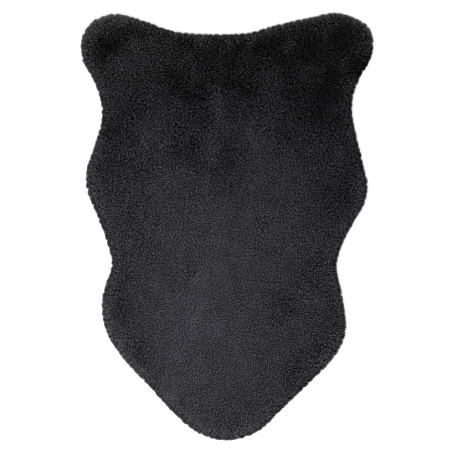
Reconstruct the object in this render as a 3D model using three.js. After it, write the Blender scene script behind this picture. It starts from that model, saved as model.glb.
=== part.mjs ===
import * as THREE from "three";

// A faux sheepskin rug lying flat on the floor, in millimetres. +Z is up, the head end with its two
// ears points along +Y and the tail along -Y. It is one piece: a knitted ground cloth whose dense,
// soft pile stands on it and hangs over its edge, so the solid is the whole depth of the pile.

// Driving sizes
const LENGTH = 900; // over the pile, from the ears' crowns to the tail
const WIDTH = 616; // over the pile, from ear tip to ear tip
const PILE_TOP = 27; // from the floor to the mean top of the standing pile

// The locks of pile round the rim
const LOCKS = 200;
const LOCK_REACH = 2.6; // from the notch between two locks to a lock's tip
const LOCK_OUT = 0.4; // the share of that reach which lies outside the outline
const LOCK_SPREAD = 0.85; // how much longer or shorter than the mean a lock may be, as a share
const LOCK_ROUND = 0.7; // the power that shapes a lock's end, rounder the smaller it is
const LOCK_LEAN = 1.3; // how far a tip leans along the rim, either way
const LOCK_DROOP = 1.1; // how far one tip lies above or below the next
const LOCK_CROWD = { share: 0.15, waves: [37, 61] }; // where locks stand closer, and by how much

// The points that carry the lumpy top of the pile inside the rim
const TOP_PITCH = 14; // between neighbours
const TOP_STRAY = 2.2; // how far each may lie off its regular place
const TOP_MARGIN = 9; // the least way from the crown of the rim
const FADE = 45; // the way in from the rim over which the lumps reach their height
const SWIRL = { reach: 16, length: 420 }; // how the rows of lumps wind from side to side

// The cut, as it lies in the photograph, anticlockwise from the middle of the neck
const OUTLINE = [
  { at: "middle of the neck", x: 0, y: 403 },
  { at: "neck, left", x: -64, y: 404 },
  { at: "rise to the left ear", x: -112, y: 409 },
  { at: "root of the left ear", x: -182, y: 433 },
  { at: "crown of the left ear", x: -236, y: 446 },
  { at: "left ear, outer crown", x: -283, y: 430 },
  { at: "left ear, over the tip", x: -302, y: 405 },
  { at: "tip of the left ear", x: -307, y: 378 },
  { at: "left ear, under the tip", x: -302, y: 346 },
  { at: "left ear, lower edge", x: -282, y: 311 },
  { at: "below the left ear", x: -267, y: 270 },
  { at: "left neck", x: -262, y: 240 },
  { at: "rise to the left shoulder", x: -268, y: 202 },
  { at: "left shoulder, upper edge", x: -282, y: 160 },
  { at: "left shoulder", x: -296, y: 112 },
  { at: "left shoulder, lower edge", x: -292, y: 70 },
  { at: "fall from the left shoulder", x: -271, y: 18 },
  { at: "left flank", x: -250, y: -40 },
  { at: "left waist", x: -241, y: -84 },
  { at: "rise to the left hip", x: -252, y: -116 },
  { at: "left hip, upper edge", x: -261, y: -150 },
  { at: "left hip", x: -261, y: -190 },
  { at: "left hip, lower edge", x: -248, y: -233 },
  { at: "left rump", x: -207, y: -291 },
  { at: "left rump, lower edge", x: -159, y: -340 },
  { at: "fall to the tail, left", x: -117, y: -387 },
  { at: "tail, left", x: -68, y: -429 },
  { at: "tail, left of the tip", x: -30, y: -446 },
  { at: "tip of the tail", x: 0, y: -450 },
  { at: "tail, right of the tip", x: 35, y: -444 },
  { at: "tail, right", x: 70, y: -427 },
  { at: "fall to the tail, right", x: 116, y: -383 },
  { at: "right rump, lower edge", x: 170, y: -331 },
  { at: "right rump", x: 223, y: -277 },
  { at: "right hip, lower edge", x: 245, y: -236 },
  { at: "right hip", x: 249, y: -203 },
  { at: "right hip, upper edge", x: 241, y: -145 },
  { at: "right waist", x: 230, y: -84 },
  { at: "right flank", x: 239, y: -46 },
  { at: "fall from the right shoulder", x: 266, y: 8 },
  { at: "right shoulder, lower edge", x: 288, y: 46 },
  { at: "right shoulder", x: 295.5, y: 84 },
  { at: "right shoulder, upper edge", x: 289, y: 118 },
  { at: "rise to the right shoulder", x: 273, y: 185 },
  { at: "right neck", x: 262.5, y: 245 },
  { at: "below the right ear", x: 268, y: 286 },
  { at: "right ear, lower edge", x: 284, y: 322 },
  { at: "right ear, under the tip", x: 302, y: 353 },
  { at: "tip of the right ear", x: 307.5, y: 381 },
  { at: "right ear, over the tip", x: 301, y: 414 },
  { at: "right ear, outer crown", x: 275, y: 435 },
  { at: "crown of the right ear", x: 232, y: 448 },
  { at: "root of the right ear", x: 180, y: 439 },
  { at: "rise to the right ear", x: 104, y: 422 },
  { at: "neck, right", x: 48, y: 406 },
];

// Section through the rim, from the floor up. inset is the way in from the outline, locks the share
// of the locks' reach that shows there, and perLock how many points each lock has round the ring.
const RIM = [
  { at: "edge of what lies on the floor", inset: 6, height: 0, locks: 0, perLock: 1 },
  { at: "lowest tips", inset: 0.9, height: 3.2, locks: 0.9, perLock: 4 },
  { at: "widest reach", inset: 0.6, height: 9.5, locks: 1, perLock: 4 },
  { at: "side of the pile", inset: 3.2, height: 16.5, locks: 0.7, perLock: 2 },
  { at: "shoulder of the pile", inset: 9, height: 22.5, locks: 0.3, perLock: 1 },
  { at: "crown of the rim", inset: 18, height: 26, locks: 0, perLock: 1 },
];

// Soft hollows where the pile lies pressed or parted. long and wide are radii, and turn is the
// angle of the long one from +X.
const HOLLOWS = [
  { at: "inside the left ear", x: -250, y: 383, long: 34, wide: 24, turn: 35, deep: 4.5 },
  { at: "along the left of the neck", x: -172, y: 398, long: 55, wide: 16, turn: -15, deep: 2 },
  { at: "left of the crown", x: -108, y: 300, long: 48, wide: 22, turn: -35, deep: 2.4 },
  { at: "right of the crown", x: 30, y: 296, long: 55, wide: 24, turn: -50, deep: 2.4 },
  { at: "along the right of the neck", x: 130, y: 375, long: 65, wide: 20, turn: 8, deep: 2 },
  { at: "inside the right ear", x: 246, y: 398, long: 34, wide: 24, turn: -40, deep: 4 },
  { at: "right of the neck", x: 200, y: 262, long: 62, wide: 34, turn: 70, deep: 3 },
  { at: "left of the neck", x: -232, y: 196, long: 40, wide: 20, turn: 80, deep: 2 },
  { at: "between the shoulders", x: -30, y: 150, long: 70, wide: 26, turn: -8, deep: 2 },
  { at: "right shoulder", x: 240, y: 62, long: 44, wide: 22, turn: 80, deep: 2 },
  { at: "left hip", x: -222, y: -172, long: 52, wide: 15, turn: 75, deep: 2.2 },
  { at: "right rump", x: 152, y: -290, long: 50, wide: 24, turn: 45, deep: 2 },
];

// The waves that make the top lumpy. turn is the way that each runs, as an angle from +X.
const LUMPS = [
  { turn: 12, length: 171, height: 1, start: 0.4 },
  { turn: 75, length: 128, height: 0.8, start: 2.1 },
  { turn: 131, length: 91, height: 0.7, start: 4.4 },
  { turn: 38, length: 67, height: 0.6, start: 1.2 },
  { turn: 104, length: 55, height: 0.55, start: 3.3 },
  { turn: 163, length: 46, height: 0.5, start: 5.6 },
];

const radians = THREE.MathUtils.degToRad;

// A number from -1 to 1 that is fixed for each whole number and kind, so that no two locks are alike.
const UNEVEN = { step: 12.9898, kind: 78.233, stretch: 43758.5453 };
function uneven(i, kind) {
  const wave = Math.sin(i * UNEVEN.step + kind * UNEVEN.kind) * UNEVEN.stretch;
  return 2 * (wave - Math.floor(wave)) - 1;
}

const cut = new THREE.CatmullRomCurve3(
  OUTLINE.map(({ x, y }) => new THREE.Vector3(x, y, 0)),
  true,
  "centripetal",
);
cut.arcLengthDivisions = 2000;

// Where the outline is a share of the way round, with the directions along the rim and into the rug.
function onOutline(share) {
  const u = (share + 1) % 1;
  const along = cut.getTangentAt(u);
  return { point: cut.getPointAt(u), along, inward: new THREE.Vector3(-along.y, along.x, 0) };
}

// A share of the way round in which some locks come out wider than others.
function unevenPitch(share) {
  let crowd = 0;
  for (const waves of LOCK_CROWD.waves) crowd += Math.sin(2 * Math.PI * waves * share + waves);
  return share + (LOCK_CROWD.share / LOCKS) * crowd;
}

// How high the lumps and hollows stand over the mean top of the pile.
function lumpAt(x, y) {
  const windX = x + SWIRL.reach * Math.sin((2 * Math.PI * y) / SWIRL.length);
  const windY = y + SWIRL.reach * Math.cos((2 * Math.PI * x) / SWIRL.length);
  let sum = 0;
  for (const { turn, length, height, start } of LUMPS) {
    const way = windX * Math.cos(radians(turn)) + windY * Math.sin(radians(turn));
    sum += height * Math.sin((2 * Math.PI * way) / length + start);
  }
  for (const hollow of HOLLOWS) {
    const c = Math.cos(radians(hollow.turn));
    const s = Math.sin(radians(hollow.turn));
    const along = (c * (x - hollow.x) + s * (y - hollow.y)) / hollow.long;
    const across = (c * (y - hollow.y) - s * (x - hollow.x)) / hollow.wide;
    sum -= hollow.deep * Math.exp(-along * along - across * across);
  }
  return sum;
}

// One ring of the rim's section, as points anticlockwise.
function rimRing({ inset, height, locks, perLock }) {
  const ring = [];
  for (let i = 0; i < LOCKS * perLock; i++) {
    const lock = Math.floor(i / perLock);
    const within = (i % perLock) / perLock; // 0 at the notch before a lock, 1/2 at its tip
    const { point, along, inward } = onOutline(unevenPitch(i / (LOCKS * perLock)));
    const swell = Math.sin(Math.PI * within);
    const size = 1 + LOCK_SPREAD * uneven(lock, 1);
    const reach = LOCK_REACH * size * (swell ** LOCK_ROUND - (1 - LOCK_OUT));
    point.addScaledVector(inward, inset - locks * reach);
    point.addScaledVector(along, locks * swell * LOCK_LEAN * uneven(lock, 2));
    point.z = height + locks * swell * LOCK_DROOP * uneven(lock, 3);
    ring.push(point);
  }
  return ring;
}

// How far a place lies from a ring, which is negative outside it.
function depthInside(x, y, ring) {
  let nearest = Infinity;
  let inside = false;
  ring.forEach((a, i) => {
    const b = ring[(i + 1) % ring.length];
    const share = ((x - a.x) * (b.x - a.x) + (y - a.y) * (b.y - a.y)) / a.distanceToSquared(b);
    const t = THREE.MathUtils.clamp(share, 0, 1);
    nearest = Math.min(nearest, Math.hypot(x - a.x - t * (b.x - a.x), y - a.y - t * (b.y - a.y)));
    const crosses = a.y > y !== b.y > y;
    if (crosses && x < a.x + ((y - a.y) / (b.y - a.y)) * (b.x - a.x)) inside = !inside;
  });
  return inside ? nearest : -nearest;
}

// The points of the top inside the crown of the rim, on a loose honeycomb.
function topPoints(crown) {
  const points = [];
  const rowStep = (TOP_PITCH * Math.sqrt(3)) / 2;
  const rows = Math.ceil(LENGTH / 2 / rowStep);
  const columns = Math.ceil(WIDTH / 2 / TOP_PITCH);
  for (let row = -rows; row <= rows; row++) {
    for (let column = -columns; column <= columns; column++) {
      const serial = (row + rows) * (2 * columns + 1) + column;
      const shift = row % 2 ? TOP_PITCH / 2 : 0;
      const x = column * TOP_PITCH + shift + TOP_STRAY * uneven(serial, 4);
      const y = row * rowStep + TOP_STRAY * uneven(serial, 5);
      const depth = depthInside(x, y, crown);
      if (depth < TOP_MARGIN) continue;
      const grown = 1 - Math.exp(-depth / FADE);
      const swell = THREE.MathUtils.lerp(RIM.at(-1).height, PILE_TOP, grown);
      points.push(new THREE.Vector3(x, y, swell + grown * lumpAt(x, y)));
    }
  }
  return points;
}

// A triangle of three of the points, by index, with the circle through its corners.
function circled(points, a, b, c) {
  const [p, q, r] = [points[a], points[b], points[c]];
  const [qx, qy, rx, ry] = [q.x - p.x, q.y - p.y, r.x - p.x, r.y - p.y];
  const twice = 2 * (qx * ry - qy * rx);
  const x = (ry * (qx * qx + qy * qy) - qy * (rx * rx + ry * ry)) / twice;
  const y = (qx * (rx * rx + ry * ry) - rx * (qx * qx + qy * qy)) / twice;
  return { corners: [a, b, c], x: p.x + x, y: p.y + y, radius: Math.hypot(x, y) };
}

// Delaunay triangles over points in the plane, anticlockwise, adding one point at a time. They start
// from one triangle that is far larger than the rug.
function delaunay(points) {
  const far = 10 * LENGTH;
  const around = [new THREE.Vector3(-far, -far), new THREE.Vector3(far, -far), new THREE.Vector3(0, far)];
  const all = [...points, ...around];
  const count = points.length;
  let found = [circled(all, count, count + 1, count + 2)];
  for (let i = 0; i < count; i++) {
    const open = new Map();
    const kept = [];
    for (const triangle of found) {
      const { x, y, radius, corners } = triangle;
      if (Math.hypot(all[i].x - x, all[i].y - y) >= radius) {
        kept.push(triangle);
        continue;
      }
      corners.forEach((a, k) => {
        const b = corners[(k + 1) % 3];
        if (!open.delete(`${b},${a}`)) open.set(`${a},${b}`, [a, b]);
      });
    }
    for (const [a, b] of open.values()) kept.push(circled(all, a, b, i));
    found = kept;
  }
  const corners = found.map((triangle) => triangle.corners);
  return corners.filter((three) => three.every((corner) => corner < count));
}

// Fills the crown of the rim with the lumpy top.
function addTop(triangles, crown) {
  const points = [...crown, ...topPoints(crown)];
  for (const three of delaunay(points)) {
    const [a, b, c] = three.map((corner) => points[corner]);
    if (depthInside((a.x + b.x + c.x) / 3, (a.y + b.y + c.y) / 3, crown) > 0) triangles.push(a, b, c);
  }
}

// Adds the band of triangles between an outer ring and the next one in, whose sizes are equal or
// whole multiples of each other. Both rings start at the same share of the way round.
function addBand(triangles, outer, inner) {
  const steps = Math.max(outer.length, inner.length);
  const at = (ring, i) => ring[Math.floor((i * ring.length) / steps) % ring.length];
  for (let i = 0; i < steps; i++) {
    const [a, b] = [at(outer, i), at(outer, i + 1)];
    const [c, d] = [at(inner, i), at(inner, i + 1)];
    if (a !== b) triangles.push(a, b, c);
    if (c !== d) triangles.push(b, d, c);
  }
}

// Closes the lowest ring with the flat underside.
function addUnderside(triangles, ring) {
  const shape = ring.map(({ x, y }) => new THREE.Vector2(x, y));
  for (const [a, b, c] of THREE.ShapeUtils.triangulateShape(shape, [])) {
    triangles.push(ring[c], ring[b], ring[a]);
  }
}

// The whole rug as one closed skin, fitted to the driving sizes and centred over the origin.
function rugGeometry() {
  const rings = RIM.map(rimRing);
  const triangles = [];
  addUnderside(triangles, rings[0]);
  for (let k = 1; k < rings.length; k++) addBand(triangles, rings[k - 1], rings[k]);
  addTop(triangles, rings.at(-1));

  const geometry = new THREE.BufferGeometry().setFromPoints(triangles);
  geometry.computeBoundingBox();
  const { min, max } = geometry.boundingBox;
  geometry.translate(-(min.x + max.x) / 2, -(min.y + max.y) / 2, 0);
  geometry.scale(WIDTH / (max.x - min.x), LENGTH / (max.y - min.y), 1);
  geometry.computeVertexNormals();
  return geometry;
}

const pile = new THREE.MeshStandardMaterial({ color: 0x36363a, roughness: 0.95, metalness: 0 });

const rug = new THREE.Mesh(rugGeometry(), pile);
rug.name = "sheepskin";

const model = new THREE.Group();
model.add(rug);

export default model;
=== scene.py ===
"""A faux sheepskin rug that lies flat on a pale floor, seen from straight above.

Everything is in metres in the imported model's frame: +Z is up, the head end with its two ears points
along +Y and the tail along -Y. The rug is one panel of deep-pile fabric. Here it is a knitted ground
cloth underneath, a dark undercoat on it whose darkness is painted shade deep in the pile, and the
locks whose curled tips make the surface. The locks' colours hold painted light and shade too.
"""

import math

import bmesh
import bpy
import numpy as np
from mathutils.kdtree import KDTree
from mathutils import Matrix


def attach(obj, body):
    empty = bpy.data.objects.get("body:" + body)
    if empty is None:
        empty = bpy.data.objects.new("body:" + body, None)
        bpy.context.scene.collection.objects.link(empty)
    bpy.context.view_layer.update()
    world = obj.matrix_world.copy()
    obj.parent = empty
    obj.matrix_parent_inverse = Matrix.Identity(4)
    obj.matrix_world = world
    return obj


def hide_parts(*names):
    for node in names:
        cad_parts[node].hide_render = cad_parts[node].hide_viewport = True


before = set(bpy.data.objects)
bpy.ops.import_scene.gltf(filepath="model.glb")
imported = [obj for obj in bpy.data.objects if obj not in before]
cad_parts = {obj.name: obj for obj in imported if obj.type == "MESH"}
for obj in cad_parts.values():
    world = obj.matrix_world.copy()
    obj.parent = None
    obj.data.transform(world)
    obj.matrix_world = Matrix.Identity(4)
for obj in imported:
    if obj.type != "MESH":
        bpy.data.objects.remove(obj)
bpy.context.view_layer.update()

MM = 0.001
RUG = "sheepskin"
SEED = 31

# The photograph: its side in pixels, what it spans at the rug, and the pixel of the rug's middle
PICTURE_SIDE = 454
PICTURE_SPAN = 954.7 * MM
PICTURE_MIDDLE = (227.0, 226.5)
RUG_REACH = PICTURE_SPAN / 2  # about as far as the rug reaches from its middle

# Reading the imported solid. A face whose normal points up or down by more than FACING belongs to the
# top or to the underside.
JOIN_WITHIN = 0.001 * MM  # of each other, corners are one corner
FLAT_WITHIN = 0.01 * MM  # of the floor, a face lies on it
FACING = 0.9

# The rim is at its widest where its normals slope up or down by less than this, above this height
RIM_SIDE = {"slope": 0.5, "above": 2 * MM}

# The cut of the fabric, which the pile hangs over on every side
GROUND_DRAW = 3 * MM
GROUND_THICK = 1.4 * MM

# The undercoat, below the pile's surface. Its dark colours are painted shade deep in the pile.
UNDERCOAT_DEPTH = 8.5 * MM
UNDERCOAT_TURN = (-0.6, 0.2)  # how far up normals point where it starts to be drawn in, and is in full
FIBRE_LENGTH = 1.2 * MM
MATTING = {"detail": 4, "distortion": 1.5}
UNDERCOAT_SHADE_DARK = (0.001, 0.001, 0.001)
UNDERCOAT_SHADE_LIGHT = (0.004, 0.004, 0.004)
UNDERCOAT_BUMP = 0.6 * MM
CLOTH_ROUGHNESS = 0.9

# The ground cloth's stitches
WALE = 1.5 * MM
COURSE = 1.1 * MM
COURSE_BOW = 0.25  # how far a course bows in each wale, as a share of a course
KNIT_DARK = (0.006, 0.006, 0.007)
KNIT_LIGHT = (0.032, 0.031, 0.035)
KNIT_BUMP = 0.3 * MM

# The locks. Each is a three-sided tuft that rises from its root and curls over at its blunt tip. Its
# sections give the share of the way along the lock, and half its width there.
LOCK_PITCH = 1.97 * MM
CANDIDATES = 12  # places tried in each square of the pitch, of which the evenly spread ones are kept
LOCK_DEPTH = 10 * MM  # from its root to the surface
LOCK_SIDES = 3
SECTIONS = [(0.5, 1.0 * MM), (0.84, 0.9 * MM)]
GIRTH = (0.88, 1.12)  # the thinnest and the thickest, as shares of that width
CLUMP_PITCH = 3.4 * MM  # between clumps, in which the locks differ but average out
LOCK_UNEVEN = 0.9 * MM  # how much taller or shorter one lock is than the next
CURL = 1.9 * MM  # how far a tip curls to its own side
CURL_UNEVEN = 0.3  # how much that differs between locks, as a share
CURL_DROP = 0.8 * MM  # how far the curl brings a tip down
NAP_REACH = 1.0 * MM  # how far a tip inside the rim is stroked with the nap
FAN_REACH = 1.0 * MM  # how far a tip at the rim leans outwards instead
FAN_WIDTH = 24 * MM  # how far in from the rim tips lean outwards
RIM_OUT = {"head": 3.1 * MM, "tail": 4.3 * MM, "from": 0, "to": -300 * MM}  # how far the tips hang out
RIM_EVEN = 0.85  # how much less the locks differ round the rim than on the top
RIM_FALL = 2.5 * MM  # how far the tips hang down where the rim is upright
FLOOR_GAP = 0.3 * MM  # the least height of a lock over the floor
SIDE_FROM = (0.31, 0.17, 0.93)  # a fixed way, square to which each lock has its first side

# The pieces that the locks make, from the tail to the head, with as many locks in each
PARTS = ["pile_tail", "pile_hips", "pile_waist", "pile_shoulders", "pile_head"]

# The points that shape a lock's curve between its root and its tip. The root and the low point lie
# back by these shares of the lean, and the low point is this share of the depth below the surface.
# The high point has gone these shares of the way of the lean and the curl, above the surface.
BEND = {
    "root_back": 0.8,
    "low_back": 0.4,
    "low_depth": 0.4,
    "high_lean": 0.5,
    "high_curl": 0.25,
    "high_rise": 0.4,  # as a share of the curl's drop
}

# The way in which the nap is stroked: towards the tail, but it strays from that by some radians over
# some distance, and it is stroked more in some places than in others
STROKE = {"heading": math.radians(-90), "strays": [(0.7, 260 * MM), (0.35, 80 * MM)]}
STROKE_STRENGTH = {"mean": 0.55, "uneven": 0.3, "length": 150 * MM}

# The uneven fields: how many waves each has, and the shortest and longest as shares of its length
WAVES = {"count": 7, "spread": (0.7, 1.5)}

# Painted shade: how the pile gets darker along the rug and to its sides, where the light falls off over
# it
PAINTED_SHADE_FALLS = [
    # from and to in x, from and to in y, in mm, and stops; None is anywhere
    (None, (-20, 250), -0.8),
    ((40, 230), None, -0.6),
    ((-100, -240), (60, -60), -0.35),
    ((-140, -240), None, -0.1),
    ((-160, -80), (240, 320), -0.55),
    ((60, 200), (200, 300), -0.3),
    (None, (-300, -420), -0.2),
]

# How many stops lighter or darker than the pile round it a lock may be, at random: where the pile is
# plain, and where its painted shade is darker by as much as at. The higher the skew, the fewer of a
# clump's locks are dark ones; those dark locks are partly painted shade in the gaps between the locks.
LOCK_STOPS = {"plain": 0.8, "dark": 5.0, "at": -1.3, "skew": 3.0}

# The pile's colour at the tips
HEAD_COLOUR = (0.112, 0.112, 0.113)
TAIL_COLOUR = (0.144, 0.140, 0.167)
VIOLET = {"start": 430 * MM, "end": -70 * MM, "uneven": 0.15, "length": 60 * MM}  # towards the tail
RIM_GREY = {"share": 0.6, "reach": 18 * MM}  # how much of that violet is gone at the rim, and how far in

# The pile's material. The streaks are the fibres that show along each lock: how many lie across it
# and along it, the range of the noise that they take up, and what they make of the shade.
# painted shade up the lock: near black at the root, deep in the pile, and lightest at the tip
PAINTED_SHADES = [(0.0, 0.01), (0.5, 0.15), (0.8, 1.0), (1.0, 1.1)]  # up the lock, from root to tip
SHADE_LIMIT = 2  # over all of those, where their curve is cut off
PILE_ROUGHNESS = 0.85
STREAKS = {"across": 14, "along": 1.5, "detail": 2, "noise": (0.3, 0.7), "shade": (0.45, 1.55)}
CELL_MARGIN = 0.08  # round a lock in its own cell of the map
CELL_STEP = 7  # from one lock's cell to the next where the fibres are drawn, so that no two are alike

# The studio, in metres and watts
SKY_STRENGTH = 1.4
FLOOR = {"reach": 8, "below": 0.2 * MM, "colour": (0.98, 0.98, 0.98), "roughness": 0.9}
LAMP = {"place": (-1.3, -1.6, 1.9), "size": 1.2, "power": 40}
LENS = 100  # in millimetres, long enough to look straight down on all of the rug
LOOK_HEIGHT = 20 * MM  # over the floor, where the frame spans what the photograph does
LOOK_FAR = 50
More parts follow.
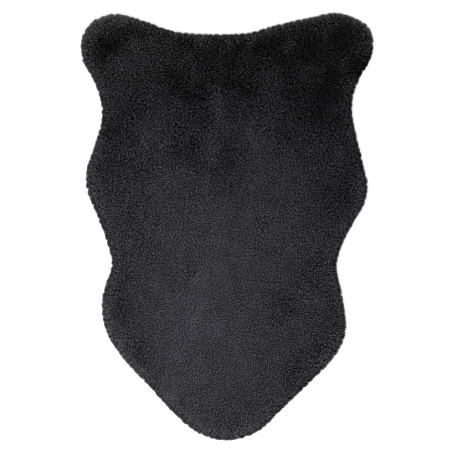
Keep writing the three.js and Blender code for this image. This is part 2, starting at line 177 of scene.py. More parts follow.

# Painted light and shade where the nap lies different ways: marks, lighter or darker, in stops. x, y,
# long and wide are in mm. long and wide are radii and turn is the angle of the long one from +X, in
# degrees.
PAINTED_NAP_LIGHT_AND_SHADE = [
    # x, y, long, wide, turn, stops
    # the left ear
    (-222, 428, 40, 10, 0, 0.25),
    (-225, 423, 16, 12, 0, 0.5),
    (-165, 415, 34, 10, -12, -0.5),
    (-228, 412, 16, 22, 20, 0.35),
    (-270, 408, 22, 14, 60, 0.5),
    (-200, 407, 50, 14, -8, -0.8),
    (-272, 405, 22, 26, 0, 0.3),
    (-226, 388, 27, 16, 50, -0.9),
    (-242, 380, 12, 8, 0, 0.3),
    (-240, 376, 18, 14, 60, -0.4),
    (-258, 375, 32, 22, 60, -1.6),
    (-236, 375, 13, 17, 0, -0.8),
    (-258, 367, 26, 9, 0, -0.3),
    (-182, 366, 22, 22, 0, 0.3),
    (-285, 345, 14, 14, 0, 0.4),
    (-192, 345, 12, 12, 0, -0.3),
    (-225, 342, 26, 14, 0, 0.3),
    (-228, 332, 20, 16, -30, 0.25),
    # the right ear
    (222, 430, 16, 12, 0, 0.25),
    (262, 430, 20, 14, -40, 0.6),
    (220, 425, 26, 14, 0, 0.7),
    (185, 418, 20, 14, 0, 0.25),
    (200, 412, 40, 14, 10, 0.4),
    (205, 411, 24, 15, 20, 0.6),
    (280, 405, 12, 16, 0, 0.4),
    (286, 398, 12, 16, 0, 0.6),
    (242, 390, 36, 24, -60, -1.1),
    (250, 385, 13, 20, 0, 0.3),
    (285, 385, 14, 34, 0, 0.7),
    (268, 372, 16, 12, 0, 0.5),
    (172, 371, 34, 24, 30, -1.2),
    (200, 370, 90, 80, 0, 0.2),
    (285, 365, 9, 18, 0, 0.55),
    (245, 345, 20, 9, 80, 1.0),
    (190, 335, 18, 18, 0, 0.3),
    (270, 330, 26, 13, 60, -1.3),
    (156, 325, 13, 18, 0, 0.4),
    (168, 322, 14, 22, 0, 0.5),
    # between the ears
    (-125, 402, 20, 10, -20, -0.3),
    (52, 394, 18, 10, 0, 0.3),
    (-47, 390, 10, 13, 0, 0.3),
    (78, 390, 20, 9, -10, -0.4),
    (48, 388, 12, 9, 0, 0.4),
    (122, 388, 12, 20, 0, 0.35),
    (145, 388, 10, 9, 0, -0.45),
    (-80, 385, 22, 15, 0, -0.6),
    (-52, 385, 20, 16, 0, 0.45),
    (-3, 385, 11, 12, 0, 0.7),
    (-97, 383, 16, 18, 0, -0.3),
    (90, 381, 28, 17, 5, -1.3),
    (130, 380, 22, 11, 85, 1.0),
    (22, 378, 20, 16, 0, -0.3),
    (150, 374, 34, 9, -5, 0.3),
    (-20, 370, 13, 16, 0, -0.35),
    (25, 370, 20, 13, 20, -0.8),
    (122, 370, 38, 9, -35, -0.35),
    (75, 368, 14, 16, 0, -0.8),
    (112, 368, 14, 20, 30, -0.5),
    (120, 368, 18, 8, -30, -0.3),
    (66, 366, 34, 9, 30, -0.3),
    (73, 366, 12, 13, 0, -0.4),
    (-26, 365, 20, 32, 0, -0.5),
    (35, 365, 40, 20, 0, -0.2),
    (66, 360, 10, 20, -30, -0.35),
    (40, 355, 13, 11, 0, 0.3),
    (-88, 352, 9, 9, 0, 0.3),
    (-85, 352, 18, 10, 20, 0.6),
    (112, 350, 30, 10, -25, -0.6),
    (18, 347, 14, 14, 0, -0.6),
    (95, 346, 12, 10, 0, -0.45),
    (40, 340, 36, 14, 0, -0.35),
    (125, 340, 28, 9, -30, -0.3),
    (-8, 338, 26, 12, 10, -0.3),
    (55, 338, 11, 11, 0, -0.6),
    (-85, 335, 16, 8, 40, -0.3),
    (9, 330, 34, 11, 78, -0.8),
    (56, 328, 12, 14, 0, -0.6),
    (-60, 325, 46, 32, 40, -0.5),
    (20, 325, 16, 26, 0, -0.25),
    (-70, 322, 13, 14, 0, 0.6),
    (135, 320, 15, 13, -30, -0.9),
    # the left of the neck
    (-140, 318, 28, 18, 0, -0.5),
    (-118, 308, 10, 10, 0, -0.35),
    (-115, 308, 9, 9, 0, -0.3),
    (-108, 305, 26, 18, -50, -1.0),
    (-130, 303, 16, 12, 0, 0.2),
    (-235, 300, 20, 18, 0, -0.3),
    (-134, 298, 13, 14, 0, 0.45),
    (-228, 290, 16, 14, 0, 0.35),
    (-168, 285, 14, 18, 0, -0.25),
    (-130, 285, 22, 20, 0, -0.5),
    (-228, 282, 14, 13, 0, 0.4),
    (-175, 272, 20, 12, 30, -0.25),
    (-112, 265, 15, 11, 0, 0.6),
    (-212, 240, 42, 17, 60, -0.5),
    (-150, 235, 22, 14, 0, 0.2),
    (-245, 205, 12, 12, 0, 0.3),
    (-133, 205, 24, 12, 25, 0.25),
    (-235, 202, 26, 12, 10, -0.7),
    # the right of the neck
    (190, 318, 22, 14, 0, 0.25),
    (225, 315, 22, 18, 0, -0.9),
    (103, 312, 20, 24, 0, 0.4),
    (185, 312, 18, 14, 0, -0.3),
    (270, 312, 13, 16, 60, 0.5),
    (148, 304, 32, 12, 0, 0.35),
    (266, 300, 12, 22, 30, 0.5),
    (215, 298, 13, 13, 0, 0.3),
    (247, 298, 18, 22, 0, 0.6),
    (178, 290, 34, 14, 0, -0.25),
    (152, 288, 20, 28, 0, -0.3),
    (125, 280, 14, 12, 0, -0.4),
    (205, 275, 34, 20, 60, -1.4),
    (125, 273, 12, 12, 0, -0.4),
    (175, 272, 12, 24, 0, -0.4),
    (235, 270, 18, 16, 0, -0.5),
    (122, 267, 10, 10, 0, -0.3),
    (232, 262, 18, 32, 0, 0.4),
    (246, 262, 12, 28, 0, 0.6),
    (190, 260, 10, 10, 0, 0.45),
    (195, 258, 12, 12, 0, 0.4),
    (192, 254, 9, 12, 0, 0.5),
    (160, 252, 16, 22, 0, -0.5),
    (224, 252, 24, 14, 0, -0.5),
    (193, 238, 24, 17, 60, -1.0),
    (240, 234, 15, 13, 0, -0.6),
    (155, 225, 15, 13, 0, -0.4),
    (107, 212, 12, 10, 0, 0.35),
    (195, 210, 14, 9, 90, -0.6),
    (195, 208, 9, 9, 0, -0.35),
    (156, 203, 12, 16, 0, -0.4),
    (230, 200, 22, 10, 0, -0.25),
    # the middle of the neck
    (-18, 318, 12, 18, 0, 0.4),
    (-70, 312, 20, 12, 0, 0.2),
    (-32, 306, 18, 10, 30, -0.3),
    (5, 303, 18, 10, 0, -0.8),
    (-96, 298, 12, 15, 0, 0.4),
    (-78, 295, 30, 10, -20, -0.3),
    (-65, 292, 13, 11, 0, 0.6),
    (38, 290, 22, 16, 0, -0.3),
    (-44, 285, 12, 12, 0, -0.35),
    (40, 285, 27, 17, -40, -1.0),
    (48, 285, 13, 14, 0, -0.5),
    (85, 283, 20, 16, 0, 0.3),
    (-72, 280, 16, 9, 20, -0.3),
    (-74, 275, 30, 17, 10, -1.6),
    (26, 265, 24, 32, 0, -0.35),
    (-20, 262, 24, 15, 60, 0.7),
    (12, 262, 14, 12, 0, -0.3),
    (-54, 252, 15, 10, 0, -0.5),
    (50, 246, 8, 12, 0, 0.3),
    (-38, 244, 22, 8, -10, -0.3),
    (-75, 238, 22, 18, 0, -0.3),
    (30, 238, 30, 15, 0, -0.4),
    (-85, 232, 18, 10, -20, 0.2),
    (-46, 228, 24, 14, 80, -0.7),
    (-15, 228, 13, 26, 0, 0.5),
    (40, 222, 44, 18, 10, 0.25),
    (70, 222, 30, 24, 0, 0.15),
    (16, 205, 16, 16, 0, 0.3),
    # the left shoulder
    (-145, 198, 18, 20, 0, 0.35),
    (-112, 190, 12, 28, 0, -0.25),
    (-170, 185, 18, 30, -10, 0.35),
    (-216, 176, 20, 18, 0, -0.4),
    (-178, 170, 42, 18, 0, 0.2),
    (-240, 165, 24, 28, 0, -0.25),
    (-105, 155, 13, 12, 0, -0.35),
    (-145, 130, 20, 16, 0, 0.25),
    (-220, 125, 24, 17, 0, -0.2),
    (-170, 125, 14, 18, 0, -0.25),
    (-252, 85, 16, 14, 0, -0.25),
    (-128, 84, 14, 22, 0, 0.3),
    (-120, 82, 18, 14, 0, 0.25),
    (-140, 75, 26, 30, 0, 0.2),
    (-190, 55, 60, 14, 0, -0.15),
    (-130, 55, 40, 12, -20, -0.15),
    (-158, 25, 16, 22, 0, 0.2),
    (-186, 2, 36, 26, 30, -0.35),
    # the right shoulder
    (254, 195, 12, 22, 0, 0.35),
    (258, 195, 12, 22, 0, 0.3),
    (225, 190, 24, 15, 0, -0.3),
    (125, 185, 38, 16, -30, -0.45),
    (208, 180, 34, 22, 0, 0.25),
    (110, 176, 50, 14, 0, 0.2),
    (118, 176, 12, 10, 0, -0.35),
    (222, 165, 10, 13, 0, 0.3),
    (172, 160, 17, 20, 0, 0.3),
    (132, 158, 12, 20, 0, 0.25),
    (232, 150, 28, 12, 30, 0.3),
    (243, 145, 14, 14, 0, 0.45),
    (200, 142, 12, 12, 0, -0.25),
    (240, 141, 16, 10, 0, 0.3),
    (246, 141, 17, 12, 0, 0.25),
    (262, 135, 20, 24, 60, -0.3),
    (268, 130, 12, 25, 0, 0.35),
    (110, 120, 55, 36, 0, 0.25),
    (250, 120, 10, 14, 0, -0.25),
    (145, 116, 26, 20, 0, 0.2),
    (222, 115, 12, 22, 0, 0.3),
    (162, 106, 26, 20, 0, 0.2),
    (175, 96, 18, 16, 0, -0.2),
    (248, 90, 14, 22, 0, -0.2),
    (280, 75, 12, 26, 0, 0.3),
    (222, 66, 34, 16, 20, -0.3),
    (236, 64, 26, 22, 0, -0.5),
    (225, 60, 40, 20, 0, -0.12),
    (165, 46, 14, 16, 0, 0.2),
    (240, 18, 14, 16, 0, -0.3),
    # between the shoulders
    (-32, 190, 20, 18, 0, 0.25),
    (0, 190, 12, 26, 0, -0.2),
    (-58, 188, 18, 13, 0, 0.25),
    (60, 180, 22, 19, 0, 0.35),
    (-74, 165, 14, 34, 0, -0.35),
    (-70, 165, 24, 14, 80, -0.6),
    (-27, 165, 18, 30, 0, 0.25),
    (55, 165, 14, 22, 0, 0.3),
    (5, 160, 24, 12, -20, -0.5),
    (90, 160, 38, 22, 0, 0.25),
    (15, 155, 28, 9, -5, -0.35),
    (-74, 132, 22, 22, 0, -0.35),
    (6, 131, 13, 12, 0, -0.7),
    (-18, 114, 18, 12, 0, -0.3),
    (-10, 95, 15, 22, 0, -0.3),
    (10, 84, 16, 18, 0, -0.35),
    (0, 62, 14, 40, 0, -0.15),
    (-90, 60, 26, 10, 20, -0.3),
    (45, 50, 16, 36, 0, 0.2),
    (20, 25, 18, 40, -30, -0.2),
    # the waist and the hips
    (212, -18, 14, 14, 0, -0.25),
    (-18, -20, 18, 66, 0, 0.2),
    (50, -22, 14, 24, 0, 0.15),
    (62, -25, 28, 45, 0, -0.45),
    (180, -28, 16, 26, 0, 0.2),
    (125, -55, 30, 10, 10, -0.15),
    (-215, -70, 20, 16, 0, -0.25),
    (-150, -70, 20, 34, 0, -0.2),
    (50, -70, 14, 18, 0, 0.15),
    (-80, -75, 27, 12, 85, -0.35),
    (176, -78, 20, 8, 40, -0.3),
    (185, -84, 14, 9, 0, -0.2),
    (166, -100, 22, 20, 30, -0.2),
    (160, -108, 13, 11, 0, -0.5),
    (-60, -110, 30, 14, 62, 0.4),
    (-28, -110, 32, 48, 0, 0.25),
    (-192, -120, 11, 16, 0, 0.2),
    (-135, -125, 16, 18, 0, 0.2),
    (-105, -125, 13, 12, 0, -0.3),
    (85, -140, 16, 12, 0, -0.25),
    (-205, -145, 26, 20, 0, 0.25),
    (-65, -150, 22, 12, 20, 0.2),
    (86, -160, 12, 14, 0, -0.25),
    (-222, -165, 46, 15, 82, -0.7),
    (125, -165, 28, 17, -60, -0.6),
    (96, -166, 12, 14, 0, -0.35),
    (200, -166, 25, 8, -40, 0.35),
    (0, -170, 60, 50, 0, 0.08),
    (-140, -175, 30, 40, 0, 0.15),
    (170, -180, 40, 40, 0, 0.1),
    (-228, -185, 18, 36, 0, 0.2),
    (-45, -190, 14, 13, 0, 0.2),
    (-145, -198, 26, 20, 20, 0.25),
    (-72, -205, 28, 22, 30, 0.45),
    (106, -205, 13, 12, 0, -0.35),
    (-231, -212, 46, 11, 112, 0.4),
    (-25, -212, 24, 20, 0, 0.3),
    (0, -225, 16, 22, 0, 0.12),
    (138, -232, 12, 14, 0, 0.2),
    (28, -236, 30, 12, 0, 0.25),
    (186, -236, 30, 24, -30, 0.15),
    (60, -240, 34, 60, 0, -0.2),
    (-102, -244, 32, 10, 0, 0.3),
    (-216, -246, 17, 20, 40, 0.6),
    (175, -246, 12, 12, 0, -0.3),
    # the tail
    (-188, -262, 42, 13, 128, -0.6),
    (-60, -262, 34, 26, 30, 0.12),
    (85, -262, 12, 12, 0, 0.2),
    (186, -262, 14, 13, 0, -0.35),
    (-110, -265, 15, 14, 0, 0.3),
    (-178, -268, 24, 12, -40, 0.3),
    (208, -270, 13, 18, 0, 0.4),
    (160, -274, 16, 16, 0, 0.35),
    (150, -290, 34, 19, 45, -0.5),
    (-35, -310, 18, 14, 0, 0.3),
    (-92, -312, 40, 30, 50, 0.25),
    (-122, -322, 14, 18, 0, 0.2),
    (10, -325, 50, 30, 0, -0.12),
    (148, -328, 30, 15, 45, -0.4),
    (-140, -338, 24, 12, -40, -0.3),
    (-122, -355, 26, 22, 0, 0.5),
    (78, -355, 18, 14, 20, -0.2),
    (42, -371, 22, 12, 0, -0.25),
    (0, -385, 50, 20, 0, 0.12),
    (15, -410, 24, 16, 0, -0.3),
    (-60, -412, 20, 10, -20, 0.2),
    (55, -418, 26, 10, 20, 0.25),
]
NAP_WIND = {"reach": 5 * MM, "length": 45 * MM}  # how the edges of those marks wander
NAP_MOTTLE = {"stops": 0.12, "length": 38 * MM}  # how uneven the nap is all over
# a floor under the painted shade: what even its darkest place gives back
PAINTED_SHADE_LEAST = 0.067  # what even the darkest nap gives back, as a share of plain nap

# Painted light and shade along the rim, lighter or darker: the place, how far along the rim it reaches,
# and the stops
PAINTED_RIM_WIDTH = 7 * MM  # how far in they reach
PAINTED_RIM_LIGHT_AND_SHADE = [
    # x, y and radius in mm, stops
    (-290, 405, 60, 0.6),
    (-235, 440, 55, 0.7),
    (-160, 420, 55, -0.9),
    (-84, 404, 30, 0.9),
    (-60, 402, 50, -0.4),
    (50, 405, 60, -0.4),
    (84, 412, 15, 1.2),
    (125, 424, 30, 0.6),
    (160, 430, 50, 0.7),
    (235, 446, 55, 1.5),
    (298, 400, 36, 1.8),
    (296, 345, 36, -1.9),
    (264, 255, 55, -0.9),
    (280, 150, 60, -1.7),
    (290, 90, 40, -0.2),
    (276, 25, 50, -1.2),
    (236, -60, 70, -1.9),
    (248, -200, 70, -1.1),
    (180, -320, 80, -1.4),
    (100, -400, 80, -1.5),
    (0, -450, 80, -1.3),
    (-100, -400, 60, -1.7),
    (-158, -345, 50, -1.8),
    (-240, -240, 60, -0.9),
    (-262, -155, 36, -0.7),
    (-242, -60, 60, -1.6),
    (-275, 20, 50, -1.8),
    (-290, 90, 60, -0.9),
    (-268, 280, 50, -0.8),
    (-264, 215, 50, -1.0),
    (-305, 360, 40, -0.5),
]


def new_object(name, mesh):
    piece = bpy.data.objects.new(name, mesh)
    bpy.context.scene.collection.objects.link(piece)
    return piece


def smoothstep(low, high, x):
    t = np.clip((x - low) / (high - low), 0, 1)
    return t * t * (3 - 2 * t)


def unit(v):
    return v / np.linalg.norm(v, axis=1, keepdims=True)


def square_to(normal, v):
    return v - (v * normal).sum(1, keepdims=True) * normal


def waves(x, y, seed, length):
    """A smooth uneven field around 0, about 1 high, of waves around the given length."""
    rng = np.random.default_rng(seed)
    total = np.zeros(len(x))
    for _ in range(WAVES["count"]):
        turn, start = rng.uniform(0, 2 * math.pi, 2)
        k = 2 * math.pi / (length * rng.uniform(*WAVES["spread"]))
        total += np.sin(k * (x * math.cos(turn) + y * math.sin(turn)) + start)
    return total / math.sqrt(WAVES["count"])


def surface_mesh():
    """The pile's outer surface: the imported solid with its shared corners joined."""
    bm = bmesh.new()
    bm.from_mesh(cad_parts[RUG].data)
    bmesh.ops.remove_doubles(bm, verts=bm.verts, dist=JOIN_WITHIN)
    bmesh.ops.recalc_face_normals(bm, faces=bm.faces)
    mesh = bpy.data.meshes.new("surface")
    bm.to_mesh(mesh)
    bm.free()
    return mesh


def vertex_arrays(mesh):
    """The mesh's vertices and their smooth normals."""
    co = np.empty(len(mesh.vertices) * 3, np.float32)
    mesh.vertices.foreach_get("co", co)
    normal = np.empty(len(mesh.vertices) * 3, np.float32)
    mesh.vertex_normals.foreach_get("vector", normal)
    return co.reshape(-1, 3).astype(float), normal.reshape(-1, 3).astype(float)


def upper_side(surface):
    """The surface without its underside, which keeps the normals that it had as a whole."""
    mesh = surface.copy()
    _, normal = vertex_arrays(mesh)
    kept = mesh.attributes.new("smooth_normal", "FLOAT_VECTOR", "POINT")
    kept.data.foreach_set("vector", normal.astype(np.float32).ravel())
    bm = bmesh.new()
    bm.from_mesh(mesh)
    under = [f for f in bm.faces if f.normal.z < -FACING]
    bmesh.ops.delete(bm, geom=under, context="FACES")
    bm.to_mesh(mesh)
    bm.free()
    return mesh


def spread_nodes(pitch, seed):
    """A node group that turns a mesh into points on it, no two of them nearer than the pitch."""
    tree = bpy.data.node_groups.new("scatter", "GeometryNodeTree")
    tree.interface.new_socket("Geometry", in_out="INPUT", socket_type="NodeSocketGeometry")
    tree.interface.new_socket("Geometry", in_out="OUTPUT", socket_type="NodeSocketGeometry")
    nodes, links = tree.nodes, tree.links
    start, end = nodes.new("NodeGroupInput"), nodes.new("NodeGroupOutput")
    spread = nodes.new("GeometryNodeDistributePointsOnFaces")
    spread.distribute_method = "POISSON"
    spread.inputs["Distance Min"].default_value = pitch
    spread.inputs["Density Max"].default_value = CANDIDATES / pitch**2
    spread.inputs["Seed"].default_value = seed
    as_vertices = nodes.new("GeometryNodePointsToVertices")
    links.new(start.outputs[0], spread.inputs["Mesh"])
    links.new(spread.outputs["Points"], as_vertices.inputs["Points"])
    links.new(as_vertices.outputs["Mesh"], end.inputs[0])
    return tree


def scatter(surface, pitch, seed):
    """Evenly spread places on the top and the rim of the surface: positions and smooth normals."""
    holder = new_object("scatter", upper_side(surface))
    tree = spread_nodes(pitch, seed)
    modifier = holder.modifiers.new("scatter", "NODES")
    modifier.node_group = tree

    graph = bpy.context.evaluated_depsgraph_get()
    spread_mesh = holder.evaluated_get(graph).data
    count = len(spread_mesh.vertices)
    place = np.empty(count * 3, np.float32)
    spread_mesh.vertices.foreach_get("co", place)
    normal = np.empty(count * 3, np.float32)
    spread_mesh.attributes["smooth_normal"].data.foreach_get("vector", normal)
    place, normal = place.reshape(-1, 3).astype(float), normal.reshape(-1, 3).astype(float)
    bpy.data.objects.remove(holder)
    bpy.data.node_groups.remove(tree)
    return place, unit(normal)


def clumps(place, middles):
    """For each place, the number of the nearest of the clumps' middles."""
    tree = KDTree(len(middles))
    for i, middle in enumerate(middles):
        tree.insert(middle, i)
    tree.balance()
    return np.array([tree.find(at)[1] for at in place])


def clump_mean(values, clump):
    """The mean of the values in each lock's clump."""
    count = np.maximum(np.bincount(clump), 1)
    columns = values.reshape(len(clump), -1).T
    mean = np.stack([np.bincount(clump, column) / count for column in columns], axis=1)
    return mean[clump].reshape(values.shape)


def apart(values, clump):
    """The values less their clump's mean, so that no clump as a whole stands out."""
    return values - clump_mean(values, clump)


def way_out(surface, place):
    """How far each place lies from the rim's widest part, and the level way towards it."""
    co, normal = vertex_arrays(surface)
    upright = (np.abs(normal[:, 2]) < RIM_SIDE["slope"]) & (co[:, 2] > RIM_SIDE["above"])
    points = co[upright]
    tree = KDTree(len(points))
    for i, point in enumerate(points):
        tree.insert((point[0], point[1], 0), i)
    tree.balance()
    near = [tree.find((x, y, 0)) for x, y, _ in place]
    edge = np.array([far for _, _, far in near])
    outward = np.array([foot for foot, _, _ in near]) - place
    outward[:, 2] = 0
    outward /= np.maximum(np.linalg.norm(outward, axis=1, keepdims=True), MM)
    return edge, outward


def comb(x, y):
    """The way in which the nap is stroked at each place: a level vector, at most about 1 long."""
    turn = np.full(len(x), STROKE["heading"])
    for k, (stray, length) in enumerate(STROKE["strays"]):
        turn += stray * waves(x, y, SEED + 1 + k, length)
    uneven = STROKE_STRENGTH["uneven"] * waves(x, y, SEED + 3, STROKE_STRENGTH["length"])
    much = STROKE_STRENGTH["mean"] + uneven
    return np.stack([much * np.cos(turn), much * np.sin(turn), np.zeros(len(x))], axis=1)


def lock_curves(place, normal, edge, outward, clump, rng):
    """Where each lock runs, as the four points of a Bezier curve."""
    count = len(place)
    x, y = place[:, 0], place[:, 1]
    rim = 1 - np.clip(normal[:, 2:], 0, 1)  # 0 on the top, 1 where the rim is upright
    fan = np.exp(-((edge[:, None] / FAN_WIDTH) ** 2))

    curl_way = apart(unit(square_to(normal, rng.normal(size=(count, 3)))), clump)
    curl = CURL * (1 + CURL_UNEVEN * rng.normal(size=(count, 1))) * curl_way
    lean = square_to(normal, comb(x, y) * NAP_REACH * (1 - fan) + outward * fan * FAN_REACH)
    tall = apart(rng.normal(0, LOCK_UNEVEN, (count, 1)), clump)
    hang = np.interp(y, [RIM_OUT["to"], RIM_OUT["from"]], [RIM_OUT["tail"], RIM_OUT["head"]])
    tall = tall * (1 - RIM_EVEN * rim) + rim * hang[:, None]
    curl = curl * (1 - RIM_EVEN * rim)
    fall = np.array([0, 0, -1.0]) * rim * RIM_FALL

    return np.stack(
        [
            place - normal * LOCK_DEPTH - lean * BEND["root_back"],
            place - normal * LOCK_DEPTH * BEND["low_depth"] - lean * BEND["low_back"],
            place
            + normal * (tall + BEND["high_rise"] * CURL_DROP)
            + lean * BEND["high_lean"]
            + curl * BEND["high_curl"],
            place + normal * (tall - CURL_DROP) + lean + curl + fall,
        ],
        axis=1,
    )


def mottle_and_painted_light_stops(x, y, edge):
    """How much lighter or darker the pile is at each place, in stops: mottle, and painted light and
    shade.
    """
    stops = NAP_MOTTLE["stops"] * waves(x, y, SEED + 4, NAP_MOTTLE["length"])
    # painted shade, darker along the rug and to its sides
    for in_x, in_y, change in PAINTED_SHADE_FALLS:
        for span, at in ((in_x, x), (in_y, y)):
            change = change * (smoothstep(*span, at / MM) if span else 1)
        stops += change
    wind_x = x + NAP_WIND["reach"] * waves(x, y, SEED + 5, NAP_WIND["length"])
    wind_y = y + NAP_WIND["reach"] * waves(x, y, SEED + 6, NAP_WIND["length"])
    # painted light and shade where the nap lies different ways
    for mark_x, mark_y, long, wide, turn, change in PAINTED_NAP_LIGHT_AND_SHADE:
        c, s = math.cos(math.radians(turn)), math.sin(math.radians(turn))
        dx, dy = wind_x - mark_x * MM, wind_y - mark_y * MM
        along, across = (c * dx + s * dy) / (long * MM), (c * dy - s * dx) / (wide * MM)
        stops += change * np.exp(-(along**2) - across**2)
    stops = np.log2(PAINTED_SHADE_LEAST + (1 - PAINTED_SHADE_LEAST) * 2.0**stops)
    painted_rim_mask = np.exp(-((edge / PAINTED_RIM_WIDTH) ** 2))
    # painted light and shade along the rim
    for mark_x, mark_y, radius, change in PAINTED_RIM_LIGHT_AND_SHADE:
        away = np.hypot(x - mark_x * MM, y - mark_y * MM) / (radius * MM)
        stops += change * painted_rim_mask * np.exp(-(away**2))
    return stops


def lock_stops(mottle_and_painted_light, clump, rng):
    """The mottle and painted light and shade, in stops, with each lock's own on top, which average out
    in a clump.
    """
    darker = np.clip(mottle_and_painted_light / LOCK_STOPS["at"], 0, 1)
    spread = LOCK_STOPS["plain"] + (LOCK_STOPS["dark"] - LOCK_STOPS["plain"]) * darker
    draw = rng.uniform(0, 1, len(mottle_and_painted_light)) ** LOCK_STOPS["skew"]
    tone = 2.0 ** (spread * (1 - 2 * draw))
    return mottle_and_painted_light + np.log2(tone / clump_mean(tone, clump))


def lock_colour_with_painted_light(x, y, edge, stops):
    """The colour of each lock at its tip: grey at the head and the rim, faintly violet elsewhere, with
    painted light and shade.
    """
    share = np.interp(y, [VIOLET["end"], VIOLET["start"]], [1, 0])
    share += VIOLET["uneven"] * waves(x, y, SEED + 7, VIOLET["length"])
    share = np.clip(share, 0, 1)[:, None]
    colour = np.array(HEAD_COLOUR) + (np.array(TAIL_COLOUR) - np.array(HEAD_COLOUR)) * share
    greyer = RIM_GREY["share"] * np.exp(-((edge[:, None] / RIM_GREY["reach"]) ** 2))
    colour += greyer * (colour[:, 1:2] - colour)
    return colour * (2.0 ** stops[:, None])


def grow_locks(surface):
    """Each lock's curve, spin, girth and colour with its painted light and shade, and how far along the
    rug it stands.
    """
    rng = np.random.default_rng(SEED)
    place, normal = scatter(surface, LOCK_PITCH, SEED)
    middle, _ = scatter(surface, CLUMP_PITCH, SEED + 1)
    clump = clumps(place, middle)
    edge, outward = way_out(surface, place)
    x, y = place[:, 0], place[:, 1]
    curve = lock_curves(place, normal, edge, outward, clump, rng)
    stops = lock_stops(mottle_and_painted_light_stops(x, y, edge), clump, rng)
    return {
        "curve": curve,
        "spin": rng.uniform(0, 2 * math.pi, len(place)),
        "girth": rng.uniform(*GIRTH, len(place)),
        "colour": lock_colour_with_painted_light(x, y, edge, stops),
        "y": y,
    }


def bezier(curve, t):
    """The places and directions at a share t of the way along each curve."""
    a, b, c, d = (curve[:, k] for k in range(4))
    at = (1 - t) ** 3 * a + 3 * (1 - t) ** 2 * t * b + 3 * (1 - t) * t**2 * c + t**3 * d
    along = (1 - t) ** 2 * (b - a) + 2 * (1 - t) * t * (c - b) + t**2 * (d - c)
    return at, unit(along)


def ring(centre, along, spin, radius):
    """A point for each side of a lock round each centre, square to a direction."""
    side = unit(np.cross(along, np.array(SIDE_FROM)))
    other = np.cross(along, side)
    points = []
    for k in range(LOCK_SIDES):
        angle = (spin + 2 * math.pi * k / LOCK_SIDES)[:, None]
        points.append(centre + radius[:, None] * (np.cos(angle) * side + np.sin(angle) * other))
    return points


def lock_faces():
    """The corners of a lock's faces: a fan at the root, a band between sections, a fan at the tip."""
    n = LOCK_SIDES
    sides = [(1 + k, 1 + (k + 1) % n) for k in range(n)]
    faces = [(0, b, a) for a, b in sides]
    for row in range(len(SECTIONS) - 1):
        for a, b in sides:
            faces += [(n * row + a, n * row + b, n * row + b + n)]
            faces += [(n * row + a, n * row + b + n, n * row + a + n)]
    last = n * (len(SECTIONS) - 1)
    faces += [(last + a, last + b, last + n + 1) for a, b in sides]
    return np.array(faces)


def lock_map():
    """Where those corners lie in the lock's own cell of a map: side by side, from root to tip."""
    low, high = CELL_MARGIN, 1 - CELL_MARGIN
    width = (high - low) / LOCK_SIDES
    sides = [(low + k * width, low + (k + 1) * width) for k in range(LOCK_SIDES)]
    rise = [low + (high - low) * t for t, _ in SECTIONS]
    cells = []
    for a, b in sides:
        cells += [((a + b) / 2, low), (b, rise[0]), (a, rise[0])]
    for under, over in zip(rise, rise[1:]):
        for a, b in sides:
            cells += [(a, under), (b, under), (b, over)]
            cells += [(a, under), (b, over), (a, over)]
    for a, b in sides:
        cells += [(a, rise[-1]), (b, rise[-1]), ((a + b) / 2, high)]
    return np.array(cells)


def lock_points(locks, chosen):
    """The vertices of the chosen locks: the root, the sections' rings and the tip."""
    curve, spin, girth = (locks[key][chosen] for key in ("curve", "spin", "girth"))
    points = [curve[:, 0]]
    for share, radius in SECTIONS:
        at, along = bezier(curve, share)
        points += ring(at, along, spin, radius * girth)
    points.append(curve[:, 3])
    points = np.stack(points, axis=1)
    points[:, :, 2] = np.maximum(points[:, :, 2], FLOOR_GAP)
    return points


def lock_piece(name, locks, chosen, material):
    """One part of the pile: the chosen locks as closed tufts in one mesh."""
    count = len(chosen)
    points = lock_points(locks, chosen)
    each = points.shape[1]
    faces = (lock_faces() + each * np.arange(count)[:, None, None]).reshape(-1, 3)

    mesh = bpy.data.meshes.new(name)
    mesh.vertices.add(count * each)
    mesh.vertices.foreach_set("co", points.astype(np.float32).ravel())
    mesh.loops.add(faces.size)
    mesh.loops.foreach_set("vertex_index", faces.astype(np.int32).ravel())
    mesh.polygons.add(len(faces))
    mesh.polygons.foreach_set("loop_start", np.arange(0, faces.size, 3, dtype=np.int32))
    mesh.update(calc_edges=True)
    mesh.polygons.foreach_set("use_smooth", np.ones(len(faces), bool))

    side = math.ceil(math.sqrt(count))
    cell = np.stack([np.arange(count) % side, np.arange(count) // side], axis=1)[:, None]
    in_cell = lock_map()
    layer = mesh.uv_layers.new(name="OFBake")
    layer.data.foreach_set("uv", ((cell + in_cell) / side).astype(np.float32).ravel())
    fibres = mesh.uv_layers.new(name="fibres")
    fibres.data.foreach_set("uv", (CELL_STEP * cell + in_cell).astype(np.float32).ravel())

    # each lock's colour, with its painted light and shade
    colour = np.ones((count, 4), np.float32)
    colour[:, :3] = locks["colour"][chosen]
    tint_and_painted_light = mesh.attributes.new("tint_and_painted_light", "FLOAT_COLOR", "POINT")
    tint_and_painted_light.data.foreach_set("color", np.repeat(colour, each, axis=0).ravel())
    # how far up the lock each corner lies, which the painted shade follows
    up = mesh.attributes.new("up", "FLOAT", "POINT")
    shares = [0, *np.repeat([t for t, _ in SECTIONS], LOCK_SIDES), 1]
    up.data.foreach_set("value", np.tile(shares, count).astype(np.float32))
    mesh.materials.append(material)
    return new_object(name, mesh)


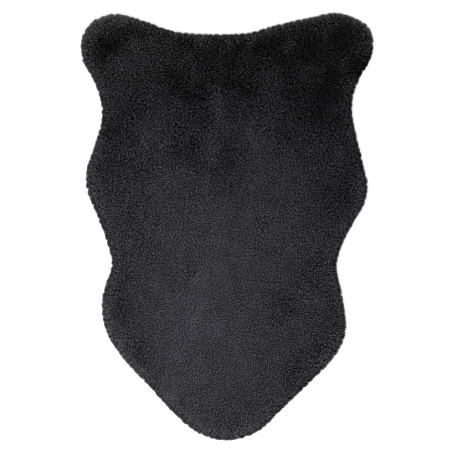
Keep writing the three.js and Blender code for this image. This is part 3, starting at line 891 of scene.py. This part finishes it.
def shaded_undercoat(surface, material):
    """The depth of the pile that the locks stand in, near black for painted shade: the outer surface,
    drawn in on all sides.

    What points up or outwards is drawn in along its normal. What points down is drawn in level,
    towards the rug's middle, and nothing lies lower than the top of the ground cloth.
    """
    mesh = surface.copy()
    mesh.name = "shaded_undercoat"
    co, normal = vertex_arrays(mesh)
    co -= normal * UNDERCOAT_DEPTH * smoothstep(*UNDERCOAT_TURN, normal[:, 2])[:, None]
    downward = np.clip(-normal[:, 2:], 0, 1)
    co[:, :2] *= 1 - UNDERCOAT_DEPTH * downward / RUG_REACH
    co[:, 2] = np.maximum(co[:, 2], GROUND_THICK)
    mesh.vertices.foreach_set("co", co.astype(np.float32).ravel())
    mesh.materials.clear()
    mesh.materials.append(material)
    mesh.update()
    return new_object("shaded_undercoat", mesh)


def cut_edge(surface):
    """The edge of the ground cloth: the rim of the surface's flat underside, drawn in."""
    bm = bmesh.new()
    bm.from_mesh(surface)
    flat = {f for f in bm.faces if max(v.co.z for v in f.verts) < FLAT_WITHIN}
    follows = {}
    for face in flat:
        for loop in face.loops:
            if any(other not in flat for other in loop.edge.link_faces):
                start, end = loop.vert, loop.link_loop_next.vert
                follows[start.index] = (end.index, tuple(start.co[:2]))
    bm.free()
    first = at = next(iter(follows))
    edge = []
    while at != first or not edge:
        at, place = follows[at]
        edge.append(place)
    edge = np.array(edge)
    along = unit(np.roll(edge, -1, axis=0) - np.roll(edge, 1, axis=0))
    inward = np.stack([along[:, 1], -along[:, 0]], axis=1)  # the underside runs clockwise from above
    return edge + GROUND_DRAW * inward


def ground_cloth(surface, material):
    """The knitted cloth that the pile is rooted in: a thin sheet, with its flat area and its edge."""
    edge = cut_edge(surface)
    bm = bmesh.new()
    rows = [[bm.verts.new((x, y, z)) for x, y in edge] for z in (0, GROUND_THICK)]
    bottom = bm.faces.new(rows[0])
    top = bm.faces.new(rows[1][::-1])
    for i in range(len(edge)):
        j = (i + 1) % len(edge)
        bm.faces.new((rows[0][j], rows[0][i], rows[1][i], rows[1][j]))
    bmesh.ops.triangulate(bm, faces=[bottom, top])
    bmesh.ops.recalc_face_normals(bm, faces=bm.faces)
    mesh = bpy.data.meshes.new("ground_cloth")
    bm.to_mesh(mesh)
    area = sum(f.calc_area() for f in bm.faces if f.normal.z > FACING)
    bm.free()
    mesh.materials.append(material)
    return new_object("ground_cloth", mesh), area, edge


def plain_material(name, colour, roughness):
    """A material of one colour without gloss."""
    material = bpy.data.materials.new(name)
    material.use_nodes = True
    shader = material.node_tree.nodes["Principled BSDF"]
    shader.inputs["Base Color"].default_value = (*colour, 1)
    shader.inputs["Roughness"].default_value = roughness
    shader.inputs["Specular IOR Level"].default_value = 0
    return material


def painted_shade_up(nodes, links):
    """The painted shade along a lock, nearly black at its root deep in the pile and lightest at its tip.
    """
    up = nodes.new("ShaderNodeAttribute")
    up.attribute_name = "up"
    rise = nodes.new("ShaderNodeFloatCurve")
    curve = rise.mapping.curves[0]
    rise.mapping.clip_max_y = SHADE_LIMIT
    for point, (share, shade) in zip(curve.points, (PAINTED_SHADES[0], PAINTED_SHADES[-1])):
        point.location = (share, shade)
    for share, shade in PAINTED_SHADES[1:-1]:
        curve.points.new(share, shade)
    rise.mapping.update()
    links.new(up.outputs["Fac"], rise.inputs["Value"])
    return rise.outputs["Value"]


def fibre_streaks(nodes, links):
    """The light and dark fibres along a lock, as factors around 1."""
    fibres = nodes.new("ShaderNodeUVMap")
    fibres.uv_map = "fibres"
    stretched = nodes.new("ShaderNodeMapping")
    stretched.inputs["Scale"].default_value = (STREAKS["across"], STREAKS["along"], 1)
    streaks = nodes.new("ShaderNodeTexNoise")
    streaks.noise_dimensions = "2D"
    streaks.inputs["Scale"].default_value = 1
    streaks.inputs["Detail"].default_value = STREAKS["detail"]
    streaked = nodes.new("ShaderNodeMapRange")
    for side, key in (("From", "noise"), ("To", "shade")):
        for end, value in zip(("Min", "Max"), STREAKS[key]):
            streaked.inputs[f"{side} {end}"].default_value = value
    links.new(fibres.outputs["UV"], stretched.inputs["Vector"])
    links.new(stretched.outputs["Vector"], streaks.inputs["Vector"])
    links.new(streaks.outputs["Fac"], streaked.inputs["Value"])
    return streaked.outputs["Result"]


def pile_material():
    """Dark fibre: each lock's colour with its painted light and shade, with painted shade from root to
    tip, streaked along it.
    """
    material = plain_material("pile", TAIL_COLOUR, PILE_ROUGHNESS)
    nodes, links = material.node_tree.nodes, material.node_tree.links
    tint_and_painted_light = nodes.new("ShaderNodeAttribute")
    tint_and_painted_light.attribute_name = "tint_and_painted_light"
    shade = nodes.new("ShaderNodeMath")
    shade.operation = "MULTIPLY"
    links.new(painted_shade_up(nodes, links), shade.inputs[0])
    links.new(fibre_streaks(nodes, links), shade.inputs[1])
    colour = nodes.new("ShaderNodeVectorMath")
    colour.operation = "SCALE"
    links.new(tint_and_painted_light.outputs["Color"], colour.inputs[0])
    links.new(shade.outputs[0], colour.inputs["Scale"])
    links.new(colour.outputs[0], nodes["Principled BSDF"].inputs["Base Color"])
    return material


def textured(name, dark, light, bump, pattern_of):
    """A dark matt material whose colour and bump both follow one pattern."""
    material = plain_material(name, light, CLOTH_ROUGHNESS)
    nodes, links = material.node_tree.nodes, material.node_tree.links
    shader = nodes["Principled BSDF"]
    pattern = pattern_of(nodes, links)
    mix = nodes.new("ShaderNodeMix")
    mix.data_type = "RGBA"
    mix.inputs["A"].default_value = (*dark, 1)
    mix.inputs["B"].default_value = (*light, 1)
    raised = nodes.new("ShaderNodeBump")
    raised.inputs["Strength"].default_value = 1
    raised.inputs["Distance"].default_value = bump
    links.new(pattern, mix.inputs["Factor"])
    links.new(pattern, raised.inputs["Height"])
    links.new(mix.outputs["Result"], shader.inputs["Base Color"])
    links.new(raised.outputs["Normal"], shader.inputs["Normal"])
    return material


def matted_fibre(nodes, links):
    """Short fibres that lie every way, as the depth of the pile shows between its locks."""
    place = nodes.new("ShaderNodeTexCoord")
    noise = nodes.new("ShaderNodeTexNoise")
    noise.inputs["Scale"].default_value = 1 / FIBRE_LENGTH
    noise.inputs["Detail"].default_value = MATTING["detail"]
    noise.inputs["Distortion"].default_value = MATTING["distortion"]
    links.new(place.outputs["Object"], noise.inputs["Vector"])
    return noise.outputs["Fac"]


def knit_stitches(nodes, links):
    """Rows of stitches: wales that run along the rug, crossed by courses that bow in each wale."""
    place = nodes.new("ShaderNodeTexCoord")
    split = nodes.new("ShaderNodeSeparateXYZ")
    links.new(place.outputs["Object"], split.inputs["Vector"])

    def math_node(operation, a, b=None):
        node = nodes.new("ShaderNodeMath")
        node.operation = operation
        for socket, value in zip(node.inputs, (a, b)):
            if value is None:
                continue
            if isinstance(value, (int, float)):
                socket.default_value = value
            else:
                links.new(value, socket)
        return node.outputs[0]

    wale = math_node("SINE", math_node("MULTIPLY", split.outputs["X"], 2 * math.pi / WALE))
    bow = math_node("MULTIPLY", wale, COURSE * COURSE_BOW)
    bowed = math_node("ADD", split.outputs["Y"], bow)
    course = math_node("SINE", math_node("MULTIPLY", bowed, 2 * math.pi / COURSE))
    both = math_node("ADD", math_node("ABSOLUTE", wale), math_node("ABSOLUTE", course))
    return math_node("MULTIPLY", both, 0.5)  # their mean, from 0 to 1


def lay_floor():
    """A plain pale floor, a little below the rug, that isn't part of the object."""
    reach = FLOOR["reach"]
    corners = [(-reach, -reach, 0), (reach, -reach, 0), (reach, reach, 0), (-reach, reach, 0)]
    mesh = bpy.data.meshes.new("floor")
    mesh.from_pydata(corners, [], [(0, 1, 2, 3)])
    mesh.materials.append(plain_material("floor", FLOOR["colour"], FLOOR["roughness"]))
    floor = new_object("floor", mesh)
    floor.location.z = -FLOOR["below"]


def light():
    """A white sky all round, and one soft lamp from the front left."""
    world = bpy.data.worlds.new("studio")
    bpy.context.scene.world = world
    world.use_nodes = True
    sky = world.node_tree.nodes["Background"]
    sky.inputs["Color"].default_value = (1, 1, 1, 1)
    sky.inputs["Strength"].default_value = SKY_STRENGTH
    lamp = bpy.data.lights.new("key", "AREA")
    lamp.shape, lamp.size, lamp.energy = "DISK", LAMP["size"], LAMP["power"]
    key = new_object("key", lamp)
    key.location = LAMP["place"]
    key.rotation_euler = (-key.location).to_track_quat("-Z", "Y").to_euler()


def aim_camera():
    """Straight down on the rug, which lies in the frame as in the photograph."""
    data = bpy.data.cameras.new("camera")
    data.lens = LENS
    data.clip_end = LOOK_FAR
    camera = new_object("camera", data)
    half = math.atan(data.sensor_width / 2 / data.lens)
    camera.location = (0, 0, LOOK_HEIGHT + PICTURE_SPAN / 2 / math.tan(half))
    middle = (PICTURE_MIDDLE[0] - PICTURE_SIDE / 2, PICTURE_SIDE / 2 - PICTURE_MIDDLE[1])
    data.shift_x, data.shift_y = -middle[0] / PICTURE_SIDE, -middle[1] / PICTURE_SIDE
    bpy.context.scene.camera = camera
    bpy.context.scene.view_settings.view_transform = "Standard"


surface = surface_mesh()
locks = grow_locks(surface)
pile = pile_material()
# the undercoat's dark colours are painted shade deep in the pile
matted_shade = textured("shaded_undercoat", UNDERCOAT_SHADE_DARK, UNDERCOAT_SHADE_LIGHT, UNDERCOAT_BUMP, matted_fibre)
knitted = textured("ground_knit", KNIT_DARK, KNIT_LIGHT, KNIT_BUMP, knit_stitches)
base = shaded_undercoat(surface, matted_shade)
cloth, cloth_area, cloth_edge = ground_cloth(surface, knitted)
order = np.argsort(locks["y"])
pieces = [
    lock_piece(name, locks, chosen, pile)
    for name, chosen in zip(PARTS, np.array_split(order, len(PARTS)))
]
lay_floor()
light()
aim_camera()
for piece in [base, cloth, *pieces]:
    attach(piece, "root")
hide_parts(RUG)
